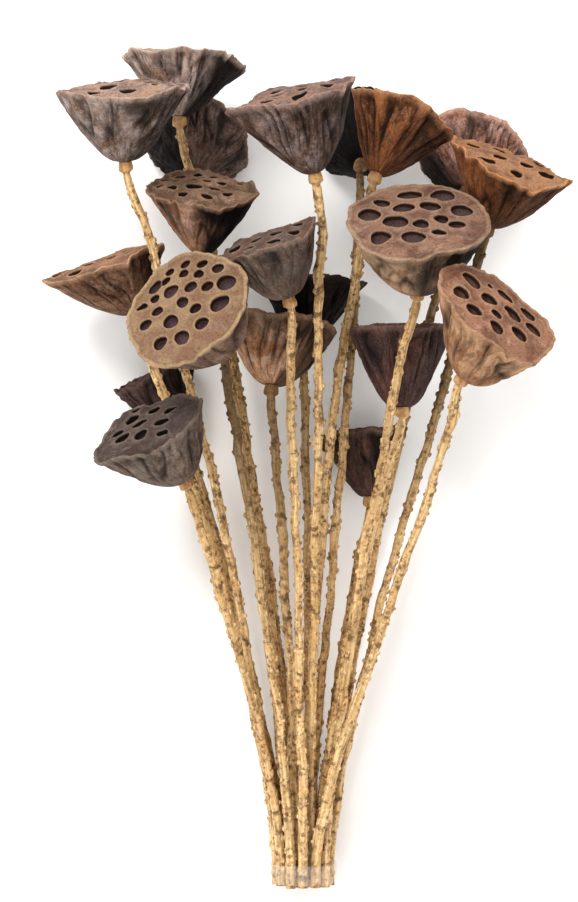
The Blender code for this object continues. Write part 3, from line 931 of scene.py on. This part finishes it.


# Side, side in patches, dusty bloom that is partly a painted sheen, painted shade in the creases, face, face in
# patches, painted shade on the socket wall, socket floor, rim, and how much of the bloom and sheen lies on the
# side.
Skin = namedtuple("Skin", "side patch bloom crease face face_patch wall floor rim bloom_share")
SKINS = {
    "ash": (
        (112, 92, 82), (92, 68, 54), (158, 142, 138), (22, 15, 12), (132, 102, 84),
        (96, 74, 66), (36, 25, 21), (78, 62, 56), (146, 122, 110), 0.62),
    # A near-black skin, partly the pods' own dark tone and partly painted shade, for heads deep in shade.
    "coal_and_painted_shade": (
        (44, 36, 34), (60, 44, 38), (104, 92, 88), (9, 7, 7), (62, 50, 46),
        (46, 38, 36), (20, 16, 15), (40, 33, 32), (104, 90, 82), 0.38),
    "bark": (
        (116, 74, 50), (140, 90, 56), (150, 116, 94), (20, 11, 7), (142, 112, 92),
        (114, 84, 66), (36, 22, 16), (78, 56, 46), (168, 128, 96), 0.34),
    "rose": (
        (122, 93, 78), (106, 72, 56), (160, 134, 124), (24, 14, 11), (136, 102, 86),
        (106, 78, 66), (42, 28, 23), (84, 62, 56), (166, 134, 112), 0.50),
    "silver": (
        (181, 160, 149), (150, 122, 103), (208, 194, 186), (36, 28, 25), (138, 112, 98),
        (112, 88, 76), (40, 29, 24), (84, 68, 60), (196, 172, 156), 0.60),
    "loam": (
        (202, 164, 130), (172, 126, 92), (204, 176, 156), (44, 29, 21), (156, 118, 98),
        (126, 90, 74), (52, 32, 27), (104, 80, 75), (180, 148, 122), 0.40),
    "umber": (
        (181, 139, 110), (149, 105, 76), (205, 180, 164), (18, 12, 9), (128, 103, 84),
        (98, 77, 61), (30, 21, 17), (66, 53, 45), (138, 112, 92), 0.50),
    "dusk": (
        (126, 110, 98), (104, 84, 72), (152, 142, 136), (20, 16, 14), (94, 81, 76),
        (78, 63, 57), (22, 17, 15), (46, 39, 37), (132, 118, 108), 0.55),
    "straw": (
        (158, 130, 108), (140, 104, 84), (172, 144, 134), (66, 42, 28), (166, 134, 102),
        (146, 110, 84), (62, 40, 32), (112, 86, 84), (190, 160, 122), 0.45),
    "slate": (
        (120, 106, 96), (122, 98, 84), (150, 140, 134), (22, 17, 15), (96, 82, 74),
        (108, 80, 70), (30, 23, 21), (64, 54, 50), (132, 116, 104), 0.50),
    "plum": (
        (82, 62, 56), (98, 68, 56), (116, 100, 96), (15, 9, 9), (90, 68, 60),
        (72, 54, 48), (24, 18, 16), (50, 40, 38), (120, 98, 86), 0.42),
}
# Near-black, for the dark staining and painted shade down one side of a bell.
STAIN_AND_SHADE_COLOUR = srgb(16, 11, 9)
# A head's streaks are painted shade of fine wrinkles, as dark as its creases are deep, up to a limit.
STREAK_SHADE_BASE = 0.15
STREAK_SHADE_GAIN = 0.14
STREAK_SHADE_LIMIT = 0.60


def head_material(name, look):
    """Dry, wrinkled skin, with dark staining and painted shade down one side, and painted shade in its creases
    and sockets.
    """
    *colours, bloom_share = SKINS[look.skin]
    skin = Skin(*(srgb(*colour) for colour in colours), bloom_share)
    streak = min(STREAK_SHADE_BASE + STREAK_SHADE_GAIN * look.crease, STREAK_SHADE_LIMIT)
    g = Graph(name)
    grain = g.mark("grain", "Vector")
    streaks = g.noise(grain, 1.5, 7.0, 0.62, warp=0.7)
    threads = g.noise(grain, 5.0, 4.0, 0.6, warp=0.5)
    patches = g.noise(g.place, 46.0, 5.0, 0.6)
    dust = g.noise(g.place, 95.0, 6.0, 0.68)
    speck = g.noise(g.place, 900.0, 3.0, 0.6)

    side = g.mix(g.ramp(patches, 0.43, 0.57), skin.side, skin.patch)
    # A pale dusty tone that is partly a painted sheen.
    bloom = g.maths("MULTIPLY", g.ramp(dust, 0.44, 0.66), skin.bloom_share)
    side = g.mix(bloom, side, skin.bloom)
    # Dark streaks along the grain, painted shade of fine wrinkles.
    side = g.mix(g.ramp(streaks, 0.56, 0.36, 0.0, streak), side, skin.crease)
    side = g.mix(g.ramp(threads, 0.52, 0.70, 0.0, 0.55), side, skin.rim)
    # Painted shade in the creases.
    side = g.mix(g.maths("MULTIPLY", g.mark("crease"), 0.85), side, skin.crease)
    # Dark staining and painted shade down one side of the bell.
    side = g.mix(g.mark("stain"), side, STAIN_AND_SHADE_COLOUR)

    face = g.mix(g.ramp(patches, 0.43, 0.57), skin.face, skin.face_patch)
    # Some of the pale dusty tone and painted sheen on the face too.
    face = g.mix(g.ramp(dust, 0.50, 0.72, 0.0, 0.45), face, skin.bloom)
    face = g.mix(g.ramp(threads, 0.46, 0.30, 0.0, 0.45), face, skin.crease)
    face = g.mix(g.maths("MULTIPLY", g.mark("lip"), 0.50), face, skin.rim)
    colour = g.mix(g.mark("face"), side, face)
    edge = g.maths("MULTIPLY", g.mark("rim"), g.ramp(dust, 0.35, 0.6, 0.25, 0.8))
    colour = g.mix(edge, colour, skin.rim)
    # Painted shade down the sockets' sides, then the socket floor's own darker tone.
    depth = g.mark("socket")
    colour = g.mix(g.ramp(depth, 0.08, 0.45), colour, skin.wall)
    colour = g.mix(g.ramp(depth, 0.75, 1.0), colour, skin.floor)
    colour = g.mix(g.ramp(speck, 0.35, 0.65, 0.0, 0.35), colour, (0.0, 0.0, 0.0), "SOFT_LIGHT")
    # Each head's overall colour factor, which also paints in how brightly lit or deeply shaded the whole head
    # is.
    colour = g.mix(1.0, colour, look.tint, "MULTIPLY")
    g.put(g.shader, "Base Color", colour)
    g.put(g.shader, "Roughness", g.ramp(dust, 0.3, 0.7, 0.62, 0.95))
    g.put(g.shader, "Specular IOR Level", HEAD_SHINE)
    coarse = g.bump(streaks, 0.75, 1.3 * MM)
    middle = g.bump(threads, 0.55, 0.6 * MM, coarse)
    fine = g.bump(speck, 0.30, 0.25 * MM, middle)
    g.put(g.shader, "Normal", fine)
    return g.material


def stem_material():
    """Dry stalk skin: golden tan and mottled, with dark thorn tips and a dark upper part on some."""
    light, mid, dark = srgb(224, 194, 146), srgb(192, 154, 104), srgb(92, 66, 40)
    g = Graph("stalk")
    grain = g.mark("grain", "Vector")
    streaks = g.noise(grain, 1.1, 6.0, 0.6, (1.0, 1.0, 0.25))
    blotch = g.noise(g.place, 150.0, 5.0, 0.65)
    wide = g.noise(g.place, 26.0, 3.0, 0.5)
    pits = g.noise(g.place, 420.0, 3.0, 0.6)
    speck = g.noise(g.place, 1300.0, 2.0, 0.6)
    colour = g.mix(g.ramp(streaks, 0.38, 0.62), mid, light)
    colour = g.mix(g.ramp(wide, 0.45, 0.66, 0.0, 0.7), colour, mid)
    colour = g.mix(g.ramp(blotch, 0.50, 0.66, 0.0, 0.85), colour, dark)
    colour = g.mix(g.ramp(pits, 0.54, 0.70, 0.0, 0.8), colour, dark)
    colour = g.mix(g.ramp(pits, 0.44, 0.30, 0.0, 0.6), colour, srgb(242, 216, 170))
    # Painted shade in the grooves.
    colour = g.mix(g.maths("MULTIPLY", g.mark("groove"), 0.5), colour, dark)
    colour = g.mix(g.ramp(g.mark("knob"), 0.2, 1.0, 0.0, 0.45), colour, srgb(176, 126, 80))
    colour = g.mix(g.ramp(g.mark("nub"), 0.15, 0.8, 0.0, 0.70), colour, srgb(98, 64, 36))
    colour = g.mix(g.mark("dark"), colour, g.mix(blotch, srgb(46, 32, 20), srgb(98, 74, 40)))
    g.put(g.shader, "Base Color", colour)
    g.put(g.shader, "Roughness", g.ramp(blotch, 0.3, 0.7, 0.55, 0.85))
    g.put(g.shader, "Specular IOR Level", STEM_SHINE)
    rough = g.bump(streaks, 0.6, 0.6 * MM)
    rough = g.bump(blotch, 0.6, 0.6 * MM, rough)
    g.put(g.shader, "Normal", g.bump(speck, 0.25, 0.15 * MM, rough))
    return g.material


def band_material():
    """Clear film, glossy where it is smooth and duller in its crinkles."""
    g = Graph("clear_film")
    crinkle = g.noise(g.place, 240.0, 3.0, 0.5)
    g.put(g.shader, "Base Color", BAND_COLOUR)
    g.put(g.shader, "Alpha", BAND_ALPHA)
    g.put(g.shader, "Specular IOR Level", BAND_SHINE)
    g.put(g.shader, "Roughness", g.ramp(crinkle, 0.3, 0.7, 0.08, 0.28))
    g.put(g.shader, "Normal", g.bump(crinkle, 0.8, 0.6 * MM))
    return g.material


def floor_material():
    """A pale matt floor with the faintest clouds in it."""
    g = Graph("pale_floor")
    soft = g.noise(g.place, 3.0, 3.0, 0.5)
    g.put(g.shader, "Base Color", g.mix(soft, *FLOOR_COLOURS))
    g.put(g.shader, "Roughness", FLOOR_ROUGHNESS)
    g.put(g.shader, "Specular IOR Level", FLOOR_SHINE)
    return g.material


# ---- floor, light and camera

CAMERA_HEIGHT = 1.9
PLANE_HEIGHT = 0.1
VIEW_LENGTH = 0.5412
CAMERA_PLACE = (-8.8 * MM, 272.3 * MM)
SENSOR_WIDTH = 36.0
FLOOR_REACH = 6
WORLD_COLOUR = (1.0, 0.99, 0.975, 1.0)
WORLD_STRENGTH = 1.16
KEY_PLACE = (-0.60, 1.00, 1.5)
KEY_TARGET = (0.0, 0.1, 0.08)
KEY_SIZE = 0.60
KEY_POWER = 16.0
KEY_COLOUR = (1.0, 0.975, 0.94)


def build_floor():
    """The floor that the bunch lies on."""
    corners = ((-1, -1, 0), (1, -1, 0), (1, 1, 0), (-1, 1, 0))
    points = np.array(corners, float) * FLOOR_REACH
    floor = make_object("floor", points, [(0, 1, 2, 3)], {}, floor_material())


def add_light(name, place, target, size, power, colour):
    """A round soft light that shines on the target."""
    light = bpy.data.lights.new(name, "AREA")
    light.shape = "DISK"
    light.size = size
    light.energy = power
    light.color = colour
    obj = bpy.data.objects.new(name, light)
    obj.location = place
    obj.rotation_euler = (Vector(target) - Vector(place)).to_track_quat("-Z", "Y").to_euler()
    bpy.context.scene.collection.objects.link(obj)


def set_studio():
    """Soft light from all round and a mild key light from the upper left."""
    world = bpy.data.worlds.new("studio")
    world.use_nodes = True
    inputs = world.node_tree.nodes["Background"].inputs
    inputs["Color"].default_value = WORLD_COLOUR
    inputs["Strength"].default_value = WORLD_STRENGTH
    bpy.context.scene.world = world
    add_light("key", KEY_PLACE, KEY_TARGET, KEY_SIZE, KEY_POWER, KEY_COLOUR)
    bpy.context.scene.view_settings.view_transform = "Standard"
    bpy.context.scene.view_settings.look = "Medium High Contrast"


def set_camera():
    """Straight above, with the view's length spanned at the height of the bunch's middle."""
    camera = bpy.data.cameras.new("camera")
    camera.sensor_width = SENSOR_WIDTH
    camera.lens = SENSOR_WIDTH * (CAMERA_HEIGHT - PLANE_HEIGHT) / VIEW_LENGTH
    obj = bpy.data.objects.new("camera", camera)
    obj.location = Vector((*CAMERA_PLACE, 0.0)) + Vector((SHIFT.x, SHIFT.y, CAMERA_HEIGHT))
    obj.rotation_euler = (0.0, 0.0, 0.0)
    bpy.context.scene.collection.objects.link(obj)
    bpy.context.scene.camera = obj


# ---- put it together

stalk_skin = stem_material()
for number, (pod, look) in enumerate(zip(PODS, LOOKS), 1):
    node = f"pod_head_{number:02d}"
    head = build_head(number, pod, look, head_material(f"skin_{number:02d}", look))
    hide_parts(node)
    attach(head, "root")
    node = f"stem_{number:02d}"
    stalk = build_stem(number, pod, look, stalk_skin)
    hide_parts(node)
    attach(stalk, "root")

tie = build_band(band_material())
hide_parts("tie_band")
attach(tie, "root")

build_floor()
set_studio()
set_camera()
